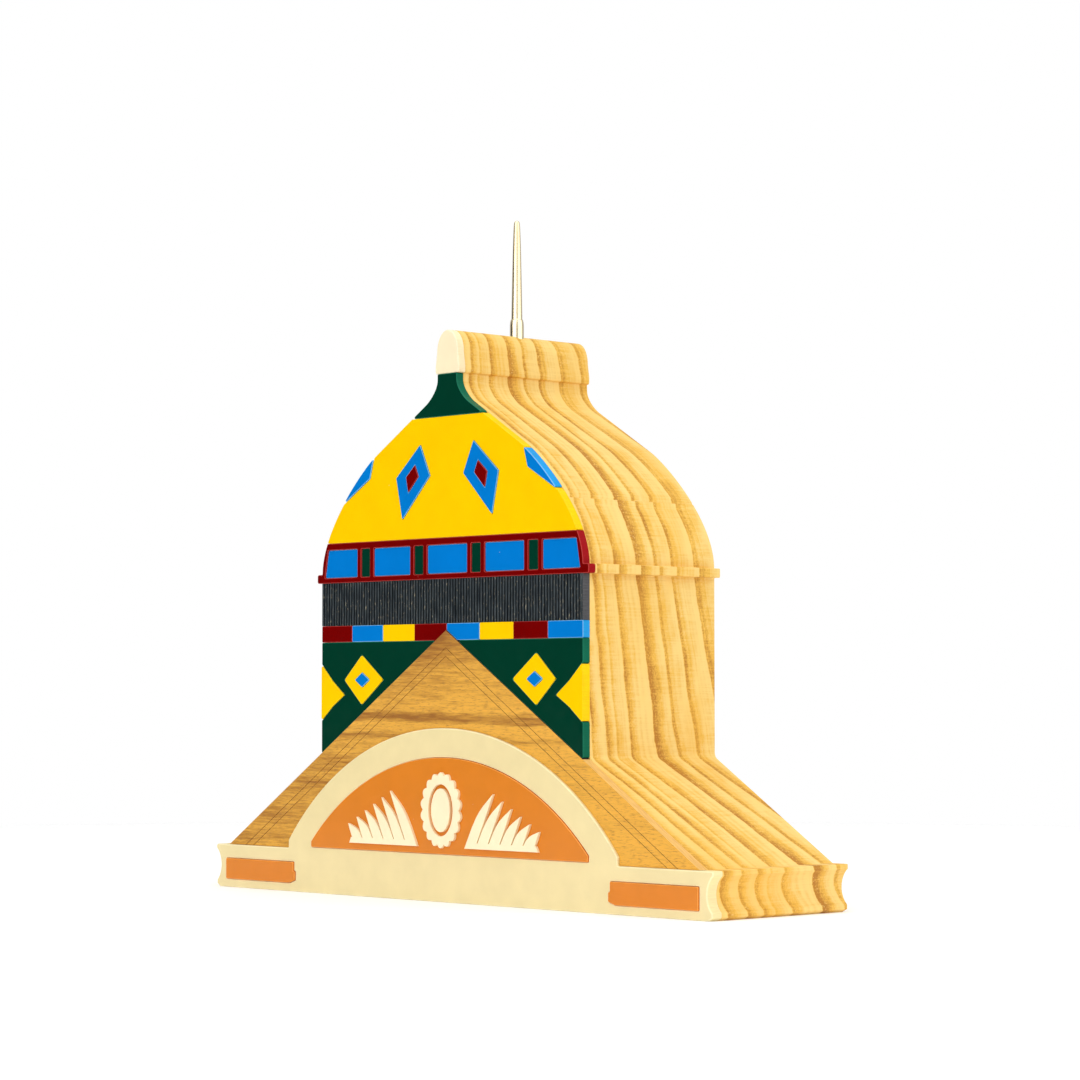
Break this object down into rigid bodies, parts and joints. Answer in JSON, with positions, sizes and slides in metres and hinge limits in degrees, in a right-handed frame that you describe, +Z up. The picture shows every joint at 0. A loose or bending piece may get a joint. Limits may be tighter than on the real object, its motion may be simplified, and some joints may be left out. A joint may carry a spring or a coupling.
{
  "type": "souvenir building model",
  "caption": "Free-standing wooden souvenir of a domed, gabled building front, faced with inlaid coloured acrylic plates and topped by a turned brass spire.",
  "frame": {"origin": "on the surface the piece stands on, under the middle of its bounding box", "axes": "+X to the right along the width, +Y to the back, +Z up; the decorated front faces -Y"},
  "size_m": [0.19, 0.0494, 0.1788],
  "materials": {
    "pine": "bare milled softwood with strong growth rings, matt",
    "gable_pine": "flat-sawn softwood, laser cut with browned edges, matt",
    "cream": "cast acrylic sheet, gloss face and milled edges",
    "pale_cream": "cast acrylic sheet, gloss face and milled edges",
    "orange": "cast acrylic sheet, gloss",
    "yellow": "cast acrylic sheet, gloss",
    "green": "cast acrylic sheet, gloss",
    "blue": "cast acrylic sheet, gloss",
    "red": "cast acrylic sheet, gloss",
    "slate": "cast acrylic sheet with cut grooves",
    "brass": "turned and polished"
  },
  "bodies": {
    "root": {"lower_board": "pine", "upper_board": "pine", "gable_plate": "gable_pine", "arch_panel": "cream", "ridge_cap": "pale_cream", "wreath": "pale_cream", "medallion": "pale_cream", "spray_left": "pale_cream", "spray_right": "pale_cream", "lunette": "orange", "plaque_left": "orange", "plaque_right": "orange", "dome_panel": "yellow", "wall_lozenge_left": "yellow", "wall_lozenge_right": "yellow", "wall_edge_lozenge_left": "yellow", "wall_edge_lozenge_right": "yellow", "tile_3": "yellow", "tile_6": "yellow", "wall_field_left": "green", "wall_field_right": "green", "neck_panel": "green", "window_pillar_1": "green", "window_pillar_2": "green", "window_pillar_3": "green", "window_pillar_4": "green", "dome_diamond_left": "blue", "dome_diamond_right": "blue", "dome_edge_diamond_left": "blue", "dome_edge_diamond_right": "blue", "wall_heart_left": "blue", "wall_heart_right": "blue", "tile_2": "blue", "tile_5": "blue", "tile_8": "blue", "window_pane_1": "blue", "window_pane_2": "blue", "window_pane_3": "blue", "window_pane_4": "blue", "window_pane_5": "blue", "window_frame": "red", "dome_heart_left": "red", "dome_heart_right": "red", "tile_1": "red", "tile_4": "red", "tile_7": "red", "ribbed_band": "slate", "brass_spire": "brass"}
  },
  "joints": []
}
